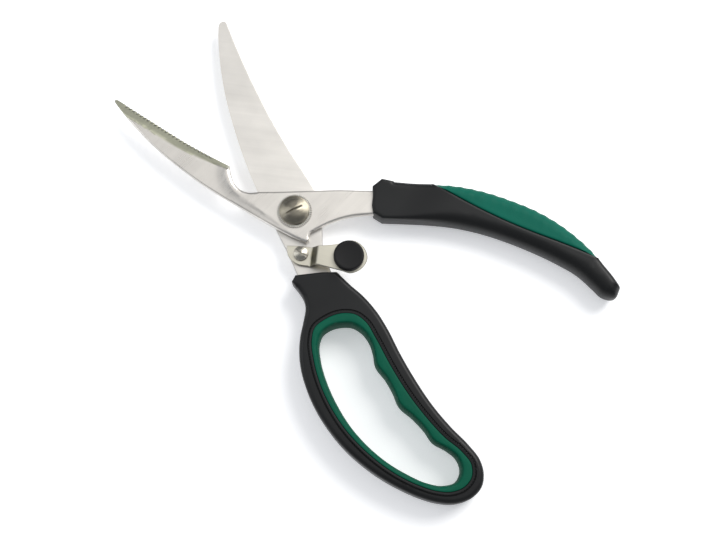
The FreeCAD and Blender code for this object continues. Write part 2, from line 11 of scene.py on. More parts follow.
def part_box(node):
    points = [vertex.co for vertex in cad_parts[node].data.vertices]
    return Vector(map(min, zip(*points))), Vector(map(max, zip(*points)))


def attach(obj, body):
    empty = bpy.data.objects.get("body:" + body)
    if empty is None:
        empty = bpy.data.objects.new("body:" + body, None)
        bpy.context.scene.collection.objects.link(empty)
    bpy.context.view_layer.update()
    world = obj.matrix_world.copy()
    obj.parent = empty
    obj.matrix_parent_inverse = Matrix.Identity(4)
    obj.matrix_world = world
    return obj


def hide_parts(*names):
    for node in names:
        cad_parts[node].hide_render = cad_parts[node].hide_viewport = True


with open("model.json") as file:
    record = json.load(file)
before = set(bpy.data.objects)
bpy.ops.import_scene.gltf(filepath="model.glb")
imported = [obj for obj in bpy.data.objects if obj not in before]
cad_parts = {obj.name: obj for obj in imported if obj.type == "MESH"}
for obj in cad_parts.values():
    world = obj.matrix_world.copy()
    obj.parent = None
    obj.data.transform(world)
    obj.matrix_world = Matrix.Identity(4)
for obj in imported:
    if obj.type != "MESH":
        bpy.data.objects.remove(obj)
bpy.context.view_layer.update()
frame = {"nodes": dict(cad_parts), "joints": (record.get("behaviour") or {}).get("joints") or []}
mm = 0.001

# Outlines are in millimetres in each blade's closed frame: pivot at 0, tip along +X.
shears = {
    "halfOpen": 18.45,  # turn of each blade from the closed line, degrees
    "upperSign": 1,
    "lowerSign": -1,
}


def zRange(node):
    low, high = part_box(node)
    return low[2] / mm, high[2] / mm


print("frame loaded:", len(frame["nodes"]), "nodes")


# curves and distances

def smoothRun(points, step):
    # cubic curve through the points, sampled every step millimetres
    points = [np.array(point, float) for point in points]
    lengths = [max(np.linalg.norm(b - a), 1e-6) for a, b in zip(points, points[1:])]
    slopes = []
    for i in range(len(points)):
        if i == 0:
            slopes.append((points[1] - points[0]) / lengths[0])
        elif i == len(points) - 1:
            slopes.append((points[-1] - points[-2]) / lengths[-1])
        else:
            before = (points[i] - points[i - 1]) / lengths[i - 1]
            after = (points[i + 1] - points[i]) / lengths[i]
            total = lengths[i - 1] + lengths[i]
            slopes.append((before * lengths[i] + after * lengths[i - 1]) / total)
    out = []
    for i, length in enumerate(lengths):
        count = max(2, int(round(length / step)))
        for k in range(count):
            t = k / count
            out.append(
                points[i] * (2 * t**3 - 3 * t**2 + 1)
                + slopes[i] * length * (t**3 - 2 * t**2 + t)
                + points[i + 1] * (3 * t**2 - 2 * t**3)
                + slopes[i + 1] * length * (t**3 - t**2)
            )
    out.append(points[-1])
    return np.array(out)


def straightRun(points, step):
    out = []
    for a, b in zip(points, points[1:]):
        a, b = np.array(a, float), np.array(b, float)
        count = max(1, int(round(np.linalg.norm(b - a) / step)))
        out += [a + (b - a) * k / count for k in range(count)]
    out.append(np.array(points[-1], float))
    return np.array(out)


def closedRun(points, step):
    wrapped = points[-3:] + points + points[:3]
    curve = smoothRun(wrapped, step)
    first = np.argmin(np.linalg.norm(curve[: len(curve) // 2] - points[0], axis=1))
    tail = curve[len(curve) // 2:]
    last = len(curve) // 2 + np.argmin(np.linalg.norm(tail - points[0], axis=1))
    return curve[first: last + 1]


def joinRuns(runs):
    # each run is (tag, points); returns the closed loop and each segment's tag
    loop, tags = [], []
    for tag, run in runs:
        loop += list(run[:-1])
        tags += [tag] * (len(run) - 1)
    return np.array(loop), tags


def distanceTo(points, starts, ends):
    best = np.full(len(points), 1e9)
    along = ends - starts
    squared = np.maximum((along**2).sum(1), 1e-12)
    for first in range(0, len(points), 1500):
        part = points[first: first + 1500]
        gap = part[:, None, :] - starts[None]
        t = np.clip((gap * along[None]).sum(2) / squared[None], 0, 1)
        away = gap - t[..., None] * along[None]
        best[first: first + 1500] = np.sqrt((away**2).sum(2)).min(1)
    return best


def insideLoop(points, loop):
    inside = np.zeros(len(points), bool)
    x, y = points[:, 0], points[:, 1]
    for a, b in zip(loop, np.roll(loop, -1, axis=0)):
        crosses = (a[1] > y) != (b[1] > y)
        rise = b[1] - a[1]
        if abs(rise) < 1e-12:
            continue
        inside ^= crosses & (x < (b[0] - a[0]) * (y - a[1]) / rise + a[0])
    return inside


def smoothStep(value, low, high):
    t = np.clip((value - low) / (high - low), 0, 1)
    return t * t * (3 - 2 * t)


def roundOver(distance, width, rise):
    # how far a rounded edge drops at this distance from the edge
    t = np.clip(1 - distance / width, 0, 1)
    return rise * (1 - np.sqrt(np.maximum(0, 1 - t * t)))


def turned(points, degrees):
    angle = math.radians(degrees)
    c, s = math.cos(angle), math.sin(angle)
    return np.column_stack([points[:, 0] * c - points[:, 1] * s,
                            points[:, 0] * s + points[:, 1] * c])


# meshes

def newMesh(name, vertices, faces, smoothAngle=35):
    mesh = bpy.data.meshes.new(name)
    mesh.from_pydata([tuple(v) for v in vertices], [], [tuple(f) for f in faces])
    mesh.validate()
    for polygon in mesh.polygons:
        polygon.use_smooth = True
    mesh.set_sharp_from_angle(angle=math.radians(smoothAngle))
    piece = bpy.data.objects.new(name, mesh)
    bpy.context.scene.collection.objects.link(piece)
    return piece


def insidePlate(points, outer, holes):
    keep = insideLoop(points, outer)
    for hole, _ in holes:
        keep &= ~insideLoop(points, hole)
    return keep


def sculptPlate(name, loops, insets, grid, heights, place, smoothAngle=35, teeth=None,
                creases=()):
    # A plate cut to closed loops (the first is the outside), whose two faces are heights.
    # Teeth is the outside as it is really cut; creases are lines that the faces fold along.
    outer = loops[0][0] if teeth is None else teeth
    fixed, edges, starts, ends, tags = [], [], [], [], []
    for index, (loop, segmentTags) in enumerate(loops):
        cut = outer if index == 0 else loop
        base = len(fixed)
        count = len(cut)
        fixed += list(cut)
        edges += [(base + i, base + (i + 1) % count) for i in range(count)]
        starts += list(loop)
        ends += list(np.roll(loop, -1, axis=0))
        tags += segmentTags
    starts, ends, tags = np.array(starts), np.array(ends), np.array(tags)
    wallStarts = np.array([fixed[a] for a, b in edges])
    wallEnds = np.array([fixed[b] for a, b in edges])
    for crease in creases:
        kept = crease[insideLoop(crease, outer) & (distanceTo(crease, wallStarts, wallEnds) > 0.12)]
        base = len(fixed)
        fixed += list(kept)
        edges += [(base + i, base + i + 1) for i in range(len(kept) - 1)]
    folds = np.vstack(creases) if creases else np.full((1, 2), 1e6)
    free = []
    for index, (loop, _) in enumerate(loops):
        tangent = np.roll(loop, -1, axis=0) - np.roll(loop, 1, axis=0)
        tangent /= np.linalg.norm(tangent, axis=1)[:, None]
        area = np.sum(loop[:, 0] * np.roll(loop[:, 1], -1) - np.roll(loop[:, 0], -1) * loop[:, 1])
        inward = np.column_stack([-tangent[:, 1], tangent[:, 0]]) * (1 if area > 0 else -1)
        if index:
            inward = -inward
        for order, inset in enumerate(insets):
            skip = 1 if order < 3 else 2
            ring = (loop + inward * inset)[::skip]
            clear = distanceTo(ring, starts, ends) > inset * 0.96
            clear &= insideLoop(ring, outer) & (distanceTo(ring, wallStarts, wallEnds) > 0.15)
            clear &= distanceTo(ring, folds, folds + 1e-9) > 0.3
            free.append(ring[clear])
    low, high = outer.min(0), outer.max(0)
    across = np.arange(low[0], high[0], grid)
    rows = np.arange(low[1], high[1], grid * 0.866)
    cells = np.vstack([np.column_stack([across + (grid / 2 if k % 2 else 0),
                                        np.full(len(across), y)])
                       for k, y in enumerate(rows)])
    cells = cells[insidePlate(cells, outer, loops[1:])]
    cells = cells[distanceTo(cells, starts, ends) > insets[-1] + grid * 0.6]
    cells = cells[distanceTo(cells, folds, folds + 1e-9) > 0.4]
    everything = np.vstack([np.array(fixed)] + free + [cells])
    result = delaunay_2d_cdt([Vector(p) for p in everything], edges, [], 0, 1e-5)
    flat = np.array([tuple(v) for v in result[0]])
    triangles = np.array([f for f in result[2] if len(f) == 3])
    triangles = triangles[insidePlate(flat[triangles].mean(1), outer, loops[1:])]
    a, b, c = flat[triangles[:, 0]], flat[triangles[:, 1]], flat[triangles[:, 2]]
    area = (b[:, 0] - a[:, 0]) * (c[:, 1] - a[:, 1]) - (c[:, 0] - a[:, 0]) * (b[:, 1] - a[:, 1])
    triangles[area < 0] = triangles[area < 0][:, ::-1]
    distance = {tag: distanceTo(flat, starts[tags == tag], ends[tags == tag])
                for tag in set(tags.tolist())}
    top, bottom, shade = heights(flat[:, 0], flat[:, 1], distance)
    count = len(flat)
    used = dict.fromkeys((int(p), int(q)) for t in triangles
                         for p, q in ((t[0], t[1]), (t[1], t[2]), (t[2], t[0])))
    walls = [(q, p, p + count, q + count) for p, q in used if (q, p) not in used]
    spots = place(flat)
    vertices = np.vstack([np.column_stack([spots, top]), np.column_stack([spots, bottom])]) * mm
    faces = [tuple(map(int, t)) for t in triangles]
    faces += [tuple(int(v) + count for v in t[::-1]) for t in triangles]
    faces += walls
    piece = newMesh(name, vertices, faces, smoothAngle)
    # the third output of heights is painted shade, kept on the points for the material to darken
    mark = piece.data.attributes.new("ground", "FLOAT", "POINT")
    mark.data.foreach_set("value", np.concatenate([shade[0], shade[1]]).astype(np.float32))
    tidy = bmesh.new()
    tidy.from_mesh(piece.data)
    bmesh.ops.remove_doubles(tidy, verts=tidy.verts, dist=1e-7)
    loose = [v for v in tidy.verts if not v.link_faces]
    bmesh.ops.delete(tidy, geom=loose, context="VERTS")
    tidy.to_mesh(piece.data)
    tidy.free()
    return piece


def upperPlace(flat):
    return turned(flat, shears["halfOpen"] * shears["upperSign"])


def lowerPlace(flat):
    return turned(flat, shears["halfOpen"] * shears["lowerSign"])


def lathe(name, profile, centre=(0, 0), steps=128, smoothAngle=30):
    # profile is (radius, height) in millimetres, from the axis below to the axis above
    vertices, faces, rings = [], [], []
    for radius, height in profile:
        if radius < 1e-6:
            rings.append([len(vertices)])
            vertices.append((centre[0], centre[1], height))
            continue
        rings.append(list(range(len(vertices), len(vertices) + steps)))
        for k in range(steps):
            angle = 2 * math.pi * k / steps
            vertices.append((centre[0] + radius * math.cos(angle),
                             centre[1] + radius * math.sin(angle), height))
    for low, high in zip(rings, rings[1:]):
        for k in range(steps):
            n = (k + 1) % steps
            if len(low) == 1:
                faces.append((low[0], high[n], high[k]))
            elif len(high) == 1:
                faces.append((low[k], low[n], high[0]))
            else:
                faces.append((low[k], low[n], high[n], high[k]))
    return newMesh(name, np.array(vertices) * mm, faces, smoothAngle)


def plainMesh(piece):
    # the evaluated result as a plain mesh, with the modifiers gone
    graph = bpy.context.evaluated_depsgraph_get()
    mesh = bpy.data.meshes.new_from_object(piece.evaluated_get(graph))
    piece.modifiers.clear()
    old = piece.data
    piece.data = mesh
    bpy.data.meshes.remove(old)
    return piece


def cutSlot(piece, long, wide, floor, top, degrees, centre=(0, 0)):
    box = bmesh.new()
    bmesh.ops.create_cube(box, size=1)
    middle = Vector((centre[0], centre[1], (floor + top) / 2)) * mm
    size = Matrix.Diagonal((long * mm, wide * mm, (top - floor) * mm, 1))
    where = Matrix.Translation(middle) @ Matrix.Rotation(math.radians(degrees), 4, "Z") @ size
    bmesh.ops.transform(box, matrix=where, verts=box.verts)
    mesh = bpy.data.meshes.new("slotCutter")
    box.to_mesh(mesh)
    box.free()
    cutter = bpy.data.objects.new("slotCutter", mesh)
    bpy.context.scene.collection.objects.link(cutter)
    cut = piece.modifiers.new("slot", "BOOLEAN")
    cut.operation = "DIFFERENCE"
    cut.object = cutter
    cut.solver = "EXACT"
    plainMesh(piece)
    bpy.data.objects.remove(cutter)
    for polygon in piece.data.polygons:
        polygon.use_smooth = True
    piece.data.set_sharp_from_angle(angle=math.radians(30))


# shader maths

class Wire:
    # one output socket, with arithmetic
    def __init__(self, tree, socket):
        self.tree = tree
        self.socket = socket

    def math(self, operation, other=0.0, flipped=False, clamp=False):
        values = (other, self) if flipped else (self, other)
        return node(self.tree, "ShaderNodeMath", {"operation": operation, "use_clamp": clamp},
                    {0: values[0], 1: values[1]})

    def __add__(self, other):
        return self.math("ADD", other)

    def __radd__(self, other):
        return self.math("ADD", other)

    def __sub__(self, other):
        return self.math("SUBTRACT", other)

    def __rsub__(self, other):
        return self.math("SUBTRACT", other, flipped=True)

    def __mul__(self, other):
        return self.math("MULTIPLY", other)

    def __rmul__(self, other):
        return self.math("MULTIPLY", other)

    def __pow__(self, other):
        return self.math("POWER", other)


def node(tree, kind, settings=None, values=None, output=0):
    made = tree.nodes.new(kind)
    for key, value in (settings or {}).items():
        if key == "stops":
            ramp = made.color_ramp
            while len(ramp.elements) < len(value):
                ramp.elements.new(0.5)
            for element, (position, colour) in zip(ramp.elements, value):
                element.position = position
                element.color = colour
        else:
            setattr(made, key, value)
    for key, value in (values or {}).items():
        if isinstance(value, Wire):
            tree.links.new(value.socket, made.inputs[key])
        else:
            made.inputs[key].default_value = value
    return Wire(tree, made.outputs[output])


def mixColour(tree, factor, first, second):
    return node(tree, "ShaderNodeMix", {"data_type": "RGBA"}, {0: factor, 6: first, 7: second}, 2)


def shades(colour, darker, lighter):
    # the dark and light ends of a finish's colour
    return [tuple(min(1, c * share) for c in colour) + (1,) for share in (darker, lighter)]


def startFinish(name, constants):
    material = bpy.data.materials.new(name)
    material.use_nodes = True
    tree = material.node_tree
    shader = tree.nodes["Principled BSDF"]
    for socket, value in constants.items():
        shader.inputs[socket].default_value = value
    place = node(tree, "ShaderNodeTexCoord", output=3)
    return material, tree, shader, place


def feed(tree, shader, **wires):
    names = {"colour": "Base Color", "roughness": "Roughness", "normal": "Normal"}
    for key, wire in wires.items():
        tree.links.new(wire.socket, shader.inputs[names[key]])


def stretched(tree, place, degrees, scale, centre=(0, 0, 0)):
    turnedPlace = node(tree, "ShaderNodeMapping", {"vector_type": "TEXTURE"},
                       {"Vector": place, "Location": centre,
                        "Rotation": (0, 0, math.radians(degrees))})
    return node(tree, "ShaderNodeVectorMath", {"operation": "MULTIPLY"},
                {0: turnedPlace, 1: scale})


def groundSteel(name, degrees, colour, roughness, grain=1.0, slopeShadeColour=None):
    # satin steel, ground across or along: fine streaks and a few wider bands, with painted shade on the
    # faces the mesh marks
    material, tree, shader, place = startFinish(name, {"Metallic": 1.0})
    streakSpace = stretched(tree, place, degrees, (60, 2600, 600))
    fine = node(tree, "ShaderNodeTexNoise", None,
                {"Vector": streakSpace, "Scale": 1.0, "Detail": 4.0, "Roughness": 0.65})
    wideSpace = stretched(tree, place, degrees, (12, 260, 90))
    wide = node(tree, "ShaderNodeTexNoise", None,
                {"Vector": wideSpace, "Scale": 1.0, "Detail": 2.0})
    cloud = node(tree, "ShaderNodeTexNoise", None, {"Vector": place, "Scale": 55.0, "Detail": 3.0})
    dark, light = shades(colour, 0.76, 1.08)
    shown = mixColour(tree, wide * 0.5 + fine * 0.2 + cloud * 0.9 - 0.3, dark, light)
    rough = fine * 0.16 * grain + cloud * 0.08 + (roughness - 0.12)
    # painted shade from the mesh attribute: up to 1 blends in the dark last colour on bevels and ramps,
    # above 1 a near-black painted shade in the tooth grooves
    if slopeShadeColour:
        mark = node(tree, "ShaderNodeAttribute", {"attribute_name": "ground"}, output=2)
        shown = mixColour(tree, mark.math("MINIMUM", 1.0), shown, slopeShadeColour + (1,))
        shown = mixColour(tree, (mark - 1).math("MAXIMUM", 0.0), shown, (0.05, 0.05, 0.04, 1))
        rough = rough + mark.math("MINIMUM", 1.0) * 0.12
    feed(tree, shader,
         colour=shown,
         roughness=rough,
         normal=node(tree, "ShaderNodeBump", None,
                     {"Height": fine, "Strength": 0.12 * grain, "Distance": 0.00006}))
    return material


def turnedSteel(name, colour, centre):
    # lathe-turned: fine rings about the axis
    material, tree, shader, place = startFinish(name, {"Metallic": 1.0, "Anisotropic": 0.85})
    flat = node(tree, "ShaderNodeVectorMath", {"operation": "SUBTRACT"},
                {0: place, 1: (centre[0], centre[1], 0)})
    flat = node(tree, "ShaderNodeVectorMath", {"operation": "MULTIPLY"},
                {0: flat, 1: (1, 1, 0)})
    radius = node(tree, "ShaderNodeVectorMath", {"operation": "LENGTH"}, {0: flat}, output=1)
    rings = (radius * (2 * math.pi / 0.00022)).math("SINE") * 0.5 + 0.5
    worn = node(tree, "ShaderNodeTexNoise", None, {"Vector": place, "Scale": 420.0, "Detail": 3.0})
    dark, light = shades(colour, 0.8, 1.15)
    feed(tree, shader,
         colour=mixColour(tree, rings * 0.35 + worn * 0.65, dark, light),
         roughness=worn * 0.12 + rings * 0.05 + 0.13,
         normal=node(tree, "ShaderNodeBump", None,
                     {"Height": rings, "Strength": 0.35, "Distance": 0.00005}))
    return material


def knurlSteel(name, colour, teeth, inside):
    # bright tooth crowns, with painted shade: near-black roots between them
    material, tree, shader, place = startFinish(name, {"Metallic": 1.0})
    x = node(tree, "ShaderNodeSeparateXYZ", None, {0: place})
    y = Wire(tree, x.socket.node.outputs[1])
    beat = (y.math("ARCTAN2", x) * teeth).math("COSINE") * 1.6 + 0.75
    radius = (x * x + y * y) ** 0.5
    toothed = (radius * 1000 - inside) * 4
    roots = (1 - beat.math("ADD", 0.0, clamp=True)) * toothed.math("ADD", 0.0, clamp=True)
    grain = node(tree, "ShaderNodeTexNoise", None, {"Vector": place, "Scale": 900.0, "Detail": 3.0})
    feed(tree, shader,
         colour=mixColour(tree, roots, colour + (1,), (0.02, 0.02, 0.016, 1)),
         roughness=grain * 0.2 + 0.2,
         normal=node(tree, "ShaderNodeBump", None,
                     {"Height": 1 - roots, "Strength": 0.5, "Distance": 0.0001}))
    return material


def mouldedPlastic(name, colour, roughness):
    # black moulded handle: very fine texture, a little dust and handling shine
    material, tree, shader, place = startFinish(name, {"Specular IOR Level": 0.22})
    grain = node(tree, "ShaderNodeTexNoise", None,
                 {"Vector": place, "Scale": 2400.0, "Detail": 2.0, "Roughness": 0.6})
    rubbed = node(tree, "ShaderNodeTexNoise", None,
                  {"Vector": place, "Scale": 45.0, "Detail": 4.0})
    dark, light = shades(colour, 0.8, 1.3)
    feed(tree, shader,
         colour=mixColour(tree, rubbed, dark, light),
         roughness=rubbed * 0.16 + grain * 0.06 + (roughness - 0.1),
         normal=node(tree, "ShaderNodeBump", None,
                     {"Height": grain, "Strength": 0.28, "Distance": 0.00008}))
    return material


def softRubber(name, colour):
    material, tree, shader, place = startFinish(name, {"Specular IOR Level": 0.14})
    speckle = node(tree, "ShaderNodeTexVoronoi", {"feature": "F1"},
                   {"Vector": place, "Scale": 1500.0})
    cloud = node(tree, "ShaderNodeTexNoise", None, {"Vector": place, "Scale": 60.0, "Detail": 4.0})
    dark, light = shades(colour, 0.82, 1.22)
    feed(tree, shader,
         colour=mixColour(tree, cloud, dark, light),
         roughness=cloud * 0.12 + speckle * 0.1 + 0.48,
         normal=node(tree, "ShaderNodeBump", None,
                     {"Height": speckle, "Strength": 0.22, "Distance": 0.0001}))
    return material


halfOpen = shears["halfOpen"]
# the last colour of a ground steel is painted shade, for its ground bevels and the latch's bent ramp
finish = {
    "serratedSteel": groundSteel("serratedSteel", halfOpen + 78, (0.785, 0.75, 0.70), 0.30, 1.0,
                                 (0.43, 0.43, 0.335)),
    "plainSteel": groundSteel("plainSteel", -halfOpen + 62, (0.79, 0.76, 0.715), 0.36, 1.0,
                              (0.50, 0.48, 0.42)),
    "latchSteel": groundSteel("latchSteel", 30, (0.68, 0.65, 0.55), 0.36, 1.0,
                              (0.11, 0.105, 0.08)),
    "springSteel": groundSteel("springSteel", 0, (0.55, 0.54, 0.52), 0.35),
    "turnedHead": turnedSteel("turnedHead", (0.30, 0.275, 0.22), (0, 0)),
    "knurledSteel": knurlSteel("knurledSteel", (0.92, 0.89, 0.82), 54, 7.1),
    "screwSteel": turnedSteel("screwSteel", (0.50, 0.475, 0.41), (-17.548 * mm, 10.282 * mm)),
    "blackPlastic": mouldedPlastic("blackPlastic", (0.011, 0.0115, 0.012), 0.40),
    "buttonPlastic": mouldedPlastic("buttonPlastic", (0.007, 0.007, 0.0075), 0.5),
    "gripGreen": softRubber("gripGreen", (0.001, 0.112, 0.075)),
    "linerGreen": softRubber("linerGreen", (0.001, 0.088, 0.050)),
}


def dress(piece, material, body, cadNode):
    piece.data.materials.clear()
    piece.data.materials.append(finish[material])
    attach(piece, body)
    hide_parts(cadNode)


print("finishes made:", len(finish))

# the two blades

bladeShape = {
    "groundStarts": (36.5, 39.5),  # the serrated edge's grinding fades in here
    "plainBevelStarts": (6, 18),
    "plainBevelWide": 4.4,
    "plainBevelSlope": 0.68,  # fall of the ground edge per millimetre towards it
    "land": 0.18,  # thickness left at the edge
    "hollow": 0.55,  # the blade is hollowed by this beyond the shoulder
    "toothFirst": 48.5,
    "toothPitch": 2.1,
    "toothCount": 24,
    "toothRadius": 0.34,
    "boreRadius": 3.55,
}


def circleLoop(centre, radius, tag, count=48):
    angles = -2 * np.pi * np.arange(count) / count
    loop = np.column_stack([centre[0] + radius * np.cos(angles),
                            centre[1] + radius * np.sin(angles)])
    return loop, [tag] * count


def serrate(run):
    # half-round teeth cut up into the edge
    cut = run.copy()
    last = bladeShape["toothCount"] - 1
    place = (run[:, 0] - bladeShape["toothFirst"]) / bladeShape["toothPitch"]
    nearest = np.clip(np.round(place), 0, last)
    away = (place - nearest) * bladeShape["toothPitch"]
    depth = np.sqrt(np.maximum(0, bladeShape["toothRadius"]**2 - away**2))
    cut[:, 1] += depth
    return cut


bladeEdge = [(102.3, -1.1), (100.5, -1.1), (90, -1), (76, -0.9), (62, -0.9), (49, -1.6),
             (38.5, -2.4)]
groundLine = [(103, 4.2), (93.3, 4.3), (83.8, 4.4), (74.5, 4.5), (69.8, 4.5), (61.1, 3.9),
              (52.6, 2.9), (44.5, 1.4), (40.4, 0.5), (34, -1)]
shoulderLine = [(39.4, -0.6), (38, 2), (33.8, 5.4), (29.9, 7), (24.1, 7.6), (15.6, 8.1),
                (4.7, 8.9), (-6, 9.5), (-13.5, 9.2)]


def serratedRuns(cut):
    edge = smoothRun(bladeEdge, 0.14 if cut else 0.5)
    return joinRuns([
        ("edge", serrate(edge) if cut else edge),
        ("notch", smoothRun([(38.5, -2.4), (35, 1.3), (31.3, 3.9), (27, 4.8), (23.5, 3.9),
                             (20.1, 1.6)], 0.4)),
        ("tang", smoothRun([(20.1, 1.6), (12.5, -3.3), (4, -9.1), (-4.4, -14.9), (-12, -20),
                            (-22, -26), (-34, -33), (-42, -36.6)], 0.6)),
        ("buried", straightRun([(-42, -36.6), (-44, -31), (-42, -25.3)], 0.8)),
        ("tang", smoothRun([(-42, -25.3), (-31.1, -18), (-22.9, -11.4), (-17, -4.3),
                            (-12.9, 2.6)], 0.5)),
        ("heel", smoothRun([(-12.9, 2.6), (-11.8, 4.7), (-12.2, 6.7), (-13.2, 8)], 0.3)),
        ("heel", straightRun([(-13.2, 8), (-12.9, 9.9)], 0.4)),
        ("spine", smoothRun([(-12.9, 9.9), (-6, 10.9), (6, 11.6), (18, 12), (32, 12.3),
                             (45, 12.2), (58, 11.2), (70, 9.7), (81, 7.5), (90, 5.1),
                             (97.2, 2.7), (101.2, 1.2)], 0.6)),
        ("spine", smoothRun([(101.2, 1.2), (102.7, 0.4), (103, -0.4), (102.3, -1.1)], 0.2)),
    ])


def serratedHeights(x, y, away):
    low, high = zRange("serrated_blade")
    edge = smoothRun(bladeEdge, 1)[::-1]
    ground = smoothRun(groundLine, 1)[::-1]
    lineY = np.interp(x, ground[:, 0], ground[:, 1])
    edgeY = np.interp(x, edge[:, 0], edge[:, 1])
    share = np.clip((lineY - y) / np.maximum(lineY - edgeY, 0.6), 0, 1.0)
    bevel = share * (high - low - bladeShape["land"]) * smoothStep(x, *bladeShape["groundStarts"])
    shoulder = smoothRun(shoulderLine, 0.5)
    flatZone = np.vstack([shoulder, [(-60, 9), (-60, -60), (60, -60), (39.4, -4)]])
    spots = np.column_stack([x, y])
    beyond = np.where(insideLoop(spots, flatZone), 0, distanceTo(spots, shoulder[:-1], shoulder[1:]))
    hollow = 0.35 * smoothStep(beyond, 0, 0.9) + 0.65 * smoothStep(beyond, 0, 5)
    hollow *= bladeShape["hollow"] * smoothStep(x, -16, 18)
    place = (x - bladeShape["toothFirst"]) / bladeShape["toothPitch"]
    nearest = np.clip(np.round(place), 0, bladeShape["toothCount"] - 1)
    sideways = np.abs(place - nearest) * bladeShape["toothPitch"]
    scallop = 0.35 * np.clip(1 - sideways / 0.65, 0, 1) * np.clip(1.6 - away["edge"], 0, 1)
    drop = np.maximum(bevel + scallop, hollow)
    drop = np.maximum(drop, roundOver(away["spine"], 1.7, 0.7 + 0.8 * smoothStep(x, 0, 30)))
    drop = np.maximum(drop, roundOver(away["notch"], 1.5, 1.1))
    drop = np.maximum(drop, roundOver(away["tang"], 1.2, 0.6))
    drop = np.maximum(drop, roundOver(away["heel"], 0.9, 0.5))
    top = np.maximum(high - drop, low + bladeShape["land"])
    # painted shade mark: 1 across the ground bevel, and more in the tooth grooves, which the finish
    # paints near-black
    grooveShade = np.clip(1.25 - sideways / 0.62, 0, 1) * smoothStep(1.3 - away["edge"], 0, 0.5)
    inTeeth = (place > -0.5) & (place < bladeShape["toothCount"] - 0.5)
    shade = smoothStep(share, 0.0, 0.07) * smoothStep(x, *bladeShape["groundStarts"]) + grooveShade * inTeeth
    return top, np.full(len(x), low), (shade, np.zeros(len(x)))


serratedBlade = sculptPlate(
    "serratedBlade",
    [serratedRuns(False), circleLoop((0, 0), bladeShape["boreRadius"], "bore")],
    [0.25, 0.6, 1.0, 1.5, 2.1, 3.0, 4.2], 1.2, serratedHeights, upperPlace, 24,
    serratedRuns(True)[0], [smoothRun(groundLine[:-1], 0.5), smoothRun(shoulderLine, 0.5)])
dress(serratedBlade, "serratedSteel", "upper", "serrated_blade")

plainRuns = [
    ("edge", smoothRun([(100.4, 3.1), (97, 4.3), (90, 6.5), (78, 9.4), (65.4, 11.6), (50, 13),
                        (35, 13.6), (20, 13.3), (6, 12.4)], 0.6)),
    ("shank", smoothRun([(6, 12.4), (-6, 11), (-18, 9.8), (-28, 9.2), (-38, 8.6), (-44, 7.4)],
                        0.6)),
    ("buried", straightRun([(-44, 7.4), (-44.6, 1), (-44, -4.9)], 0.8)),
    ("shank", smoothRun([(-44, -4.9), (-39, -5.8), (-28, -6.2), (-19, -7), (-11.4, -9.6),
                         (-2, -12.2), (6.8, -12.6)], 0.6)),
    ("spine", smoothRun([(6.8, -12.6), (18, -10.4), (29.3, -8.1), (47, -5.2), (66, -3.2),
                         (84, -2), (100.9, -1.6)], 0.6)),
    ("tip", smoothRun([(100.9, -1.6), (102.4, -0.7), (102.6, 0.8), (101.8, 2.2), (100.4, 3.1)],
                      0.25)),
]


def plainHeights(x, y, away):
    low, high = zRange("plain_blade")
    starts = smoothStep(x, *bladeShape["plainBevelStarts"])
    inBevel = bladeShape["plainBevelWide"] - away["edge"]
    bevel = np.maximum(0, inBevel) * bladeShape["plainBevelSlope"] * starts
    lift = np.maximum(bevel, roundOver(away["spine"], 1.6, 1.3))
    lift = np.maximum(lift, roundOver(away["shank"], 0.8, 0.5))
    drop = roundOver(away["shank"], 0.5, 0.25) + roundOver(away["spine"], 0.4, 0.2)
    bottom = np.minimum(low + lift, high - bladeShape["land"])
    # painted shade mark across the ground bevel on the bottom face
    ground = smoothStep(inBevel, 0, 0.4) * starts
    return high - drop, bottom, (np.zeros(len(x)), ground)


plainBlade = sculptPlate(
    "plainBlade",
    [joinRuns(plainRuns), circleLoop((0, 0), bladeShape["boreRadius"], "bore")],
    [0.3, 0.7, 1.2, 2.0, 3.0, bladeShape["plainBevelWide"]], 2.0, plainHeights, lowerPlace, 24)
dress(plainBlade, "plainSteel", "lower", "plain_blade")
print("blades made")

# the palm handle

palmShape = {
    "middle": 8.0,  # height of the handle's own mid plane
    "neckHalf": 6.25,
    "bodyHalf": 7.8,
    "gripHalf": 8.0,
    "sideRound": 5.4,
    "sideRise": 6.2,
    "ribPitch": 5.2,
    "ribHeight": 0.38,
    "ribEdge": 0.15,
}

palmInner = [(-36.8, -18.7), (-45.7, -23.8), (-56, -29.4), (-67, -34.4), (-79, -38.7),
             (-92, -41.9), (-104, -44), (-117, -45.4), (-128, -45.6), (-137, -43.9),
             (-143, -42.8), (-147.9, -45), (-147.6, -49.7)]
palmTip = [(-147.6, -49.7), (-142, -52.4), (-135, -55), (-132.2, -56.1)]
palmSeam = [(-132.2, -56.1), (-122, -54.6), (-112, -52.8), (-100, -50.4), (-88, -48.4),
            (-76, -47), (-64, -46.1), (-54, -45.7), (-47.4, -45.4)]


def neckHalf(x, start, end, full):
    return palmShape["neckHalf"] + (full - palmShape["neckHalf"]) * smoothStep(-x, start, end)


def evenFaces(half, drop):
    # both faces lie equally far from the handle's mid plane, with no painted shade marks
    none = np.zeros(len(drop))
    return palmShape["middle"] + half - drop, palmShape["middle"] - half + drop, (none, none)


def palmShellHeights(x, y, away):
    half = neckHalf(x, 40, 60, palmShape["bodyHalf"])
    grow = smoothStep(-x, 38, 70)
    side = roundOver(away["inner"], 1.1 + 4.3 * grow, 1.1 + 5.1 * grow)
    drop = np.maximum(side, roundOver(away["outer"], 2.6, 2.6))
    drop = np.maximum(drop, roundOver(away["collar"], 1.1, 1.1))
    drop = np.maximum(drop, roundOver(away["seam"], 0.7, 0.7))
    return evenFaces(half, drop)


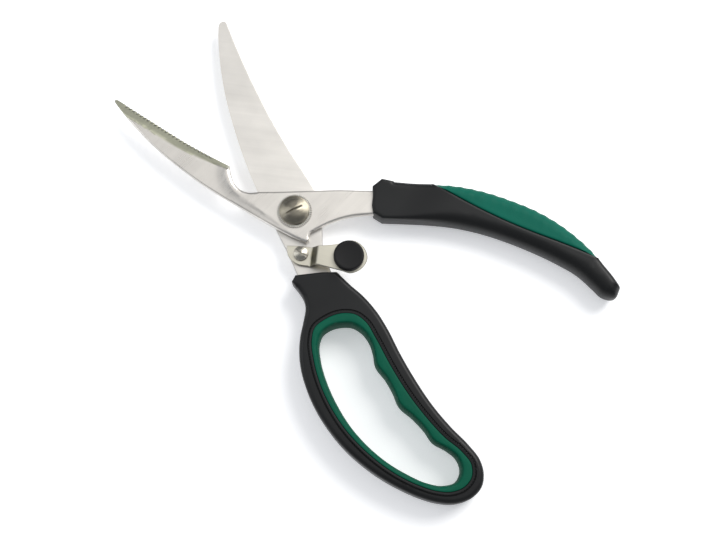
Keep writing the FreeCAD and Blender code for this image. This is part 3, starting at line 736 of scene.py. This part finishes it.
palmShell = sculptPlate(
    "palmShell",
    [joinRuns([
        ("collar", straightRun([(-32.1, -37), (-26.4, -34.9), (-24.6, -29.4), (-27, -26),
                                (-29.2, -21.6), (-31.8, -18.7), (-36.8, -18.7)], 0.6)),
        ("inner", smoothRun(palmInner, 0.7)),
        ("outer", smoothRun(palmTip, 0.7)),
        ("seam", smoothRun(palmSeam, 0.7)),
        ("outer", smoothRun([(-47.4, -45.4), (-38.5, -40.3), (-32.1, -37)], 0.6)),
    ])],
    [0.25, 0.6, 1.1, 1.8, 2.7, 3.8, 5.2], 1.8, palmShellHeights, upperPlace, 40)
dress(palmShell, "blackPlastic", "upper", "palm_handle")


def ribBeat(x, y):
    along = -x * math.cos(math.radians(10)) - y * math.sin(math.radians(10))
    return 0.5 + 0.5 * np.cos(2 * np.pi * along / palmShape["ribPitch"])


def ribbed(run):
    # the ribs show as low bumps along the outer edge
    bumpy = run.copy()
    ends = np.minimum(np.arange(len(run)), np.arange(len(run))[::-1])
    bumpy[:, 1] -= palmShape["ribEdge"] * ribBeat(run[:, 0], run[:, 1]) * np.clip(ends / 8, 0, 1)
    return bumpy


def palmGripHeights(x, y, away):
    beat = ribBeat(x, y)
    rib = palmShape["ribHeight"] * (beat**2) * np.clip(1 - away["outer"] / 7.5, 0, 1)
    rib *= smoothStep(away["seam"], 0.4, 2.0)
    half = neckHalf(x, 40, 60, palmShape["gripHalf"]) + 0.15
    drop = np.maximum(roundOver(away["outer"], 4.6, 5.2), roundOver(away["seam"], 0.8, 0.6))
    drop = drop + 0.25 - rib
    top, bottom, marks = evenFaces(half, drop)
    return top, np.maximum(bottom, 0), marks


palmGrip = sculptPlate(
    "palmGrip",
    [joinRuns([
        ("seam", smoothRun([(x, y - 0.2) for x, y in palmSeam], 0.7)[::-1]),
        ("outer", ribbed(smoothRun([(-132.2, -56.3), (-127, -58), (-118, -59.9), (-107, -61),
                                    (-96, -60.7), (-83, -58.6), (-70, -55.4), (-58, -50.9),
                                    (-47.4, -45.6)], 0.6))),
    ])],
    [0.25, 0.6, 1.1, 1.8, 2.7, 3.8, 5.0], 1.4, palmGripHeights, upperPlace, 40)
dress(palmGrip, "gripGreen", "upper", "palm_grip")
print("palm handle made")

# the loop handle

loopShape = {
    "outerRound": 2.3,
    "grooveNear": 1.1,  # a groove runs round the liner at this distance
    "grooveWide": 0.9,
    "grooveDeep": 0.55,
    "bulge": 1.8,  # how far the liner's wall bulges into the opening
    "bulgeRise": 7.0,
}

loopOuter = [(-35.3, 11.6), (-40.5, 10.5), (-45, 11), (-51, 14.2), (-57, 17.9), (-63, 20.6),
             (-71, 22.8), (-81, 23.6), (-91, 22.9), (-102, 20.5), (-112, 17), (-122, 11.8),
             (-130.5, 6), (-138, -0.4), (-144.4, -7), (-149.5, -14), (-152.5, -21),
             (-152.7, -28.7), (-149.4, -35), (-144, -37.9), (-138, -38.4), (-130.5, -36.2),
             (-120, -31.6), (-108, -27.4), (-94, -24.2), (-80, -22), (-68, -20.8),
             (-57.5, -18.7), (-49, -15.6), (-41.9, -11.8), (-34.8, -8.6)]
linerSeam = [(-54.1, -4), (-53.9, 4.5), (-56, 10.4), (-61, 13.7), (-70, 16), (-81, 17),
             (-93, 16.1), (-104, 13.6), (-115, 9.2), (-125, 3.6), (-133, -2.4), (-139.6, -8.9),
             (-144.3, -15), (-147, -21), (-147, -27.3), (-144.1, -31.9), (-139, -33.8),
             (-132, -31.9), (-123.5, -27.1), (-112.5, -22.7), (-99.5, -18.8), (-84, -15.8),
             (-70, -14), (-61.5, -12.3), (-56.6, -9)]
fingerOpening = [(-59.2, -2.5), (-58.4, 3.6), (-59.7, 7.9), (-63.5, 10.9), (-70, 12.8),
                 (-81, 13.7), (-93, 12.8), (-104, 10.5), (-115, 6.2), (-125, 0.4),
                 (-132.5, -5.6), (-139.2, -12.4), (-143, -19), (-143.4, -24.6), (-139.5, -28.4),
                 (-134, -28.7), (-129.5, -26.3), (-123.2, -21.3), (-117, -19.7), (-110.4, -17),
                 (-102.4, -12.9), (-96, -12.6), (-89.2, -11.6), (-81.6, -9.5), (-76, -10.5),
                 (-69.6, -10.6), (-64, -8.7), (-60.6, -5.7)]


def loopShellHeights(x, y, away):
    half = neckHalf(x, 46, 68, palmShape["bodyHalf"])
    drop = np.maximum(roundOver(away["outer"], loopShape["outerRound"], loopShape["outerRound"]),
                      roundOver(away["collar"], 1.1, 1.1))
    start = loopShape["grooveNear"]
    middle = start + loopShape["grooveWide"] / 2
    groove = np.clip(1 - (np.abs(away["seam"] - middle) / (loopShape["grooveWide"] / 2))**2, 0, 1)
    drop = np.maximum(drop, loopShape["grooveDeep"] * np.sqrt(groove))
    drop = np.maximum(drop, roundOver(away["seam"], 0.45, 0.45))
    return evenFaces(half, drop)


loopShell = sculptPlate(
    "loopShell",
    [joinRuns([
        ("collar", straightRun([(-34.8, -8.6), (-32.3, -1.7), (-29.4, 10.2), (-31.6, 12.8),
                                (-35.3, 11.6)], 0.6)),
        ("outer", smoothRun(loopOuter, 0.7)),
     ]),
     joinRuns([("seam", closedRun(linerSeam, 0.6))])],
    [0.22, 0.5, 1.1, 1.3, 1.55, 1.8, 2.0, 2.4], 1.5, loopShellHeights, lowerPlace, 40)
dress(loopShell, "blackPlastic", "lower", "loop_handle")


def linerHeights(x, y, away):
    half = neckHalf(x, 46, 60, palmShape["gripHalf"]) - 0.05
    drop = roundOver(away["opening"], loopShape["bulge"], loopShape["bulgeRise"])
    drop = np.maximum(drop, roundOver(away["seam"], 0.5, 0.5))
    return evenFaces(half, drop)


loopLiner = sculptPlate(
    "loopLiner",
    [joinRuns([("seam", closedRun(linerSeam, 0.6))]),
     joinRuns([("opening", closedRun(fingerOpening, 0.5))])],
    [0.06, 0.2, 0.45, 0.8, 1.3, 1.8], 1.2, linerHeights, lowerPlace, 40)
dress(loopLiner, "linerGreen", "lower", "loop_grip")
print("loop handle made")

# the pivot: domed bolt head, knurled ring

pivotShape = {
    "headRadius": 7.2,
    "domeRise": 1.9,
    "rimRound": 0.9,
    "slotLong": 8.4,
    "slotWide": 1.0,
    "slotDeep": 1.6,
    "slotTurn": -102,
    "shaftRadius": 2.95,
    "ringRadius": 8.3,
    "ringBore": 3.6,
    "toothCount": 54,
}


def domedHead(name, base, top, radius, rise, rim, shaft, shaftBase, centre=(0, 0), steps=160):
    profile = [(0, shaftBase), (shaft, shaftBase), (shaft, base), (radius - 0.15, base),
               (radius, base + 0.15), (radius, top - rise - rim)]
    for k in range(1, 5):
        angle = math.pi / 2 * k / 5
        profile.append((radius - rim * (1 - math.cos(angle)),
                        top - rise - rim * (1 - math.sin(angle))))
    crown = radius - rim
    for k in range(11):
        share = 1 - k / 10
        profile.append((crown * share, top - rise * share**2))
    return lathe(name, profile, centre, steps)


def makeBolt():
    low, high = zRange("pivot_bolt")
    bolt = domedHead("pivotBolt", zRange("knurled_ring")[1], high, pivotShape["headRadius"],
                     pivotShape["domeRise"], pivotShape["rimRound"], pivotShape["shaftRadius"],
                     low)
    cutSlot(bolt, pivotShape["slotLong"], pivotShape["slotWide"],
            high - pivotShape["slotDeep"], high + 1, pivotShape["slotTurn"])
    dress(bolt, "turnedHead", "lower", "pivot_bolt")


def knurlTree():
    # instances of one tooth round a circle, standing on the ring
    tree = bpy.data.node_groups.new("knurls", "GeometryNodeTree")
    face = tree.interface
    face.new_socket("Geometry", in_out="INPUT", socket_type="NodeSocketGeometry")
    for label, kind in (("Radius", "NodeSocketFloat"), ("Teeth", "NodeSocketInt"),
                        ("Tooth Wide", "NodeSocketFloat"), ("Tooth Deep", "NodeSocketFloat"),
                        ("Height", "NodeSocketFloat"), ("Base", "NodeSocketFloat"),
                        ("Material", "NodeSocketMaterial")):
        face.new_socket(label, in_out="INPUT", socket_type=kind)
    face.new_socket("Geometry", in_out="OUTPUT", socket_type="NodeSocketGeometry")
    add = tree.nodes.new
    link = tree.links.new
    given = add("NodeGroupInput")
    result = add("NodeGroupOutput")
    circle = add("GeometryNodeMeshCircle")
    link(given.outputs["Teeth"], circle.inputs["Vertices"])
    link(given.outputs["Radius"], circle.inputs["Radius"])
    tooth = add("GeometryNodeMeshCone")
    tooth.inputs["Vertices"].default_value = 4
    link(given.outputs["Tooth Wide"], tooth.inputs["Radius Bottom"])
    narrow = add("ShaderNodeMath")
    narrow.operation = "MULTIPLY"
    narrow.inputs[1].default_value = 0.72
    link(given.outputs["Tooth Wide"], narrow.inputs[0])
    link(narrow.outputs[0], tooth.inputs["Radius Top"])
    link(given.outputs["Height"], tooth.inputs["Depth"])
    position = add("GeometryNodeInputPosition")
    align = add("FunctionNodeAlignRotationToVector")
    align.axis = "X"
    align.pivot_axis = "Z"
    link(position.outputs[0], align.inputs["Vector"])
    instance = add("GeometryNodeInstanceOnPoints")
    link(circle.outputs["Mesh"], instance.inputs["Points"])
    link(tooth.outputs["Mesh"], instance.inputs["Instance"])
    link(align.outputs["Rotation"], instance.inputs["Rotation"])
    squeeze = add("ShaderNodeCombineXYZ")
    squeeze.inputs[1].default_value = 1.0
    squeeze.inputs[2].default_value = 1.0
    link(given.outputs["Tooth Deep"], squeeze.inputs[0])
    link(squeeze.outputs[0], instance.inputs["Scale"])
    lift = add("GeometryNodeTransform")
    upward = add("ShaderNodeCombineXYZ")
    link(given.outputs["Base"], upward.inputs[2])
    link(upward.outputs[0], lift.inputs["Translation"])
    link(instance.outputs[0], lift.inputs["Geometry"])
    both = add("GeometryNodeJoinGeometry")
    real = add("GeometryNodeRealizeInstances")
    paint = add("GeometryNodeSetMaterial")
    link(lift.outputs[0], both.inputs[0])
    link(given.outputs["Geometry"], both.inputs[0])
    link(both.outputs[0], real.inputs[0])
    link(real.outputs[0], paint.inputs["Geometry"])
    link(given.outputs["Material"], paint.inputs["Material"])
    link(paint.outputs[0], result.inputs[0])
    return tree


def setInputs(modifier, values):
    ids = {item.name: item.identifier for item in modifier.node_group.interface.items_tree
           if item.in_out == "INPUT"}
    for label, value in values.items():
        modifier[ids[label]] = value


def makeRing():
    low, high = zRange("knurled_ring")
    outer = pivotShape["ringRadius"]
    inner = pivotShape["ringBore"]
    profile = [(inner, low), (outer - 0.6, low), (outer - 0.55, low + 0.05),
               (outer - 0.55, high - 0.2), (outer - 0.75, high), (inner, high), (inner, low)]
    ring = lathe("knurledRing", profile, steps=216)
    knurl = ring.modifiers.new("knurls", "NODES")
    knurl.node_group = knurlTree()
    setInputs(knurl, {
        "Radius": (outer - 0.4) * mm, "Teeth": pivotShape["toothCount"],
        "Tooth Wide": 0.4 * mm, "Tooth Deep": 1.0, "Height": (high - low - 0.1) * mm,
        "Base": (low + 0.05) * mm, "Material": finish["knurledSteel"]})
    plainMesh(ring)
    dress(ring, "knurledSteel", "lower", "knurled_ring")


makeBolt()
makeRing()
print("pivot made")

# the latch: bent lever, screw, button

latchShape = {
    "turn": -117.36 - shears["halfOpen"],
    "reach": 22.63,
    "foot": 4.6,
    "knee": 8.6,
    "sheet": 1.2,
    "foldStep": 0.31,  # spacing of the mesh lines across the bend
    "buttonRadius": 7.05,
    "buttonRound": 0.8,
    "screwRadius": 3.5,
    "screwDome": 1.0,
    "screwRim": 0.5,
    "screwShaft": 1.45,
    "screwSlotLong": 9,
    "screwSlotWide": 0.8,
    "screwSlotDeep": 1.1,
    "screwSlotTurn": 21,
}
latchPivot = [joint["pos_m"] for joint in frame["joints"] if joint["name"] == "latch_pivot"][0]
latchCentre = (latchPivot[0] / mm, latchPivot[1] / mm)


def latchPlace(flat):
    return turned(flat, latchShape["turn"]) + np.array(latchCentre)


def leverHeights(x, y, away):
    low, high = zRange("latch_lever")
    rise = high - low - latchShape["sheet"]
    t = np.clip((x - latchShape["foot"]) / (latchShape["knee"] - latchShape["foot"]), 0, 1)
    bend = 0.12
    ramp = np.where(t < bend, t * t / (2 * bend), t - bend / 2)
    ramp = np.where(t > 1 - bend, 1 - bend - (1 - t)**2 / (2 * bend), ramp)
    ramp = np.clip(ramp / (1 - bend), 0, 1)
    steep = latchShape["sheet"] * (1 + 0.45 * smoothStep(t, 0, 0.2) * smoothStep(1 - t, 0, 0.2))
    soft = roundOver(away["rim"], 0.28, 0.28)
    floor = low + rise * ramp
    # painted shade mark across the bent ramp, which the latch finish paints dark
    rampShade = smoothStep(t, 0.02, 0.25) * smoothStep(1 - t, 0.02, 0.3)
    return floor + steep - soft, floor + soft * 0.6, (rampShade, rampShade)


latchLever = sculptPlate(
    "latchLever",
    [joinRuns([
        ("rim", smoothRun([(2.4, 3.7), (-2.6, 3.5), (-7, 3.1)], 0.4)),
        ("rim", straightRun([(-7, 3.1), (-6.1, -1.3)], 0.4)),
        ("rim", smoothRun([(-6.1, -1.3), (-4.2, -3.5), (-1.1, -5.1), (4.1, -5.6), (8, -5.5),
                           (14.2, -6.2), (20.4, -7.1), (24.2, -7.7), (29.2, -4.9), (31.3, 0),
                           (29.2, 4.9), (23.6, 7.8), (18, 5.7), (13.4, 4.5), (7, 3.5),
                           (2.4, 3.7)], 0.4)),
    ])],
    [0.12, 0.28, 0.6], 0.7, leverHeights, latchPlace, 30, None,
    [straightRun([(x, -9), (x, 9)], 0.35) for x in np.arange(3.9, 9.6, latchShape["foldStep"])])
dress(latchLever, "latchSteel", "latch", "latch_lever")


def makeButton():
    low, high = zRange("latch_button")
    angle = math.radians(latchShape["turn"])
    centre = (latchCentre[0] + latchShape["reach"] * math.cos(angle),
              latchCentre[1] + latchShape["reach"] * math.sin(angle))
    radius = latchShape["buttonRadius"]
    soft = latchShape["buttonRound"]
    profile = [(0, low), (radius - 0.3, low), (radius, low + 0.3), (radius, high - soft)]
    for k in range(1, 6):
        turn = math.pi / 2 * k / 5
        profile.append((radius - soft * (1 - math.cos(turn)), high - soft * (1 - math.sin(turn))))
    profile += [(radius - 1.4, high - 0.05), (radius - 2.4, high - 0.16), (2.0, high - 0.28),
                (0, high - 0.3)]
    button = lathe("latchButton", profile, centre, 128)
    dress(button, "buttonPlastic", "latch", "latch_button")


def makeLatchScrew():
    low, high = zRange("latch_screw")
    leverTop = zRange("latch_lever")[0] + latchShape["sheet"]
    screw = domedHead("latchScrew", leverTop + 0.05, high, latchShape["screwRadius"],
                      latchShape["screwDome"], latchShape["screwRim"], latchShape["screwShaft"],
                      low, latchCentre, 96)
    cutSlot(screw, latchShape["screwSlotLong"], latchShape["screwSlotWide"],
            high - latchShape["screwSlotDeep"], high + 1, latchShape["screwSlotTurn"],
            latchCentre)
    dress(screw, "screwSteel", "lower", "latch_screw")


makeButton()
makeLatchScrew()
print("latch made")

# the small hidden pieces keep their own shapes

for nodeName, finishName in (("pivot_nut", "latchSteel"), ("lock_washer", "springSteel"),
                             ("stop_pin", "springSteel"), ("opening_spring", "springSteel"),
                             ("latch_washer", "springSteel"), ("latch_rivet", "springSteel")):
    part = frame["nodes"][nodeName]
    if not part.data.materials:
        part.data.materials.append(None)
    for index in range(len(part.data.materials)):
        part.data.materials[index] = finish[finishName]

# floor, lights, camera

studio = {
    "floorSize": 4.0,
    "cameraPlace": (-0.1397, 0.0738, 0.6076),
    "lookDown": 12.0,  # degrees from straight down
    "viewTurn": 129.05,  # direction of +X in the view, degrees
    "lens": 65.63,
    "lights": {  # place (right, up, height), size, power, colour
        "keyLight": ((0.85, 0.75, 1.1), 1.0, 21, (1, 0.99, 0.97)),
        "fillLight": ((-1.1, 0.2, 0.9), 1.0, 5, (0.96, 0.98, 1)),
        "topLight": ((0.1, 0.42, 1.3), 1.2, 2.5, (1, 0.99, 0.97)),
    },
    "worldColour": (0.90, 0.94, 1.0, 1),
    "worldStrength": 0.30,
}


def makeFloor():
    half = studio["floorSize"] / 2
    mesh = bpy.data.meshes.new("floor")
    mesh.from_pydata([(-half, -half, 0), (half, -half, 0), (half, half, 0), (-half, half, 0)],
                     [], [(0, 1, 2, 3)])
    floor = bpy.data.objects.new("floor", mesh)
    bpy.context.scene.collection.objects.link(floor)
    material, tree, shader, place = startFinish("paleFloor", {
        "Roughness": 0.9, "Specular IOR Level": 0.1,
        "Emission Color": (0.97, 0.98, 1, 1), "Emission Strength": 0.38})
    cloud = node(tree, "ShaderNodeTexNoise", None, {"Vector": place, "Scale": 6.0, "Detail": 2.0})
    feed(tree, shader,
         colour=mixColour(tree, cloud, (0.92, 0.92, 0.925, 1), (0.94, 0.94, 0.945, 1)))
    mesh.materials.append(material)


def areaLight(name, place, size, power, colour):
    data = bpy.data.lights.new(name, "AREA")
    data.shape = "DISK"
    data.size = size
    data.energy = power
    data.color = colour
    lamp = bpy.data.objects.new(name, data)
    bpy.context.scene.collection.objects.link(lamp)
    lamp.location = place
    aim = -Vector(place)
    lamp.rotation_euler = aim.to_track_quat("-Z", "Y").to_euler()


def viewToFrame(u, v, z):
    # right and up on the table as the camera sees it, turned into the frame's X and Y
    angle = math.radians(studio["viewTurn"])
    return (u * math.cos(angle) + v * math.sin(angle),
            -u * math.sin(angle) + v * math.cos(angle), z)


def makeStudio():
    makeFloor()
    for name, (spot, size, power, colour) in studio["lights"].items():
        areaLight(name, viewToFrame(*spot), size, power, colour)
    world = bpy.data.worlds.new("studio")
    bpy.context.scene.world = world
    world.use_nodes = True
    background = world.node_tree.nodes["Background"]
    background.inputs[0].default_value = studio["worldColour"]
    background.inputs[1].default_value = studio["worldStrength"]
    bpy.context.scene.view_settings.view_transform = "Standard"
    data = bpy.data.cameras.new("camera")
    data.lens = studio["lens"]
    data.sensor_width = 36
    data.clip_start = 0.01
    camera = bpy.data.objects.new("camera", data)
    bpy.context.scene.collection.objects.link(camera)
    tilt = math.radians(studio["lookDown"])
    right = Vector(viewToFrame(1, 0, 0))
    up = Vector(viewToFrame(0, math.cos(tilt), math.sin(tilt)))
    back = Vector(viewToFrame(0, -math.sin(tilt), math.cos(tilt)))
    turn = Matrix((right, up, back)).transposed()
    camera.matrix_world = Matrix.Translation(studio["cameraPlace"]) @ turn.to_4x4()
    bpy.context.scene.camera = camera


makeStudio()
print("studio made")
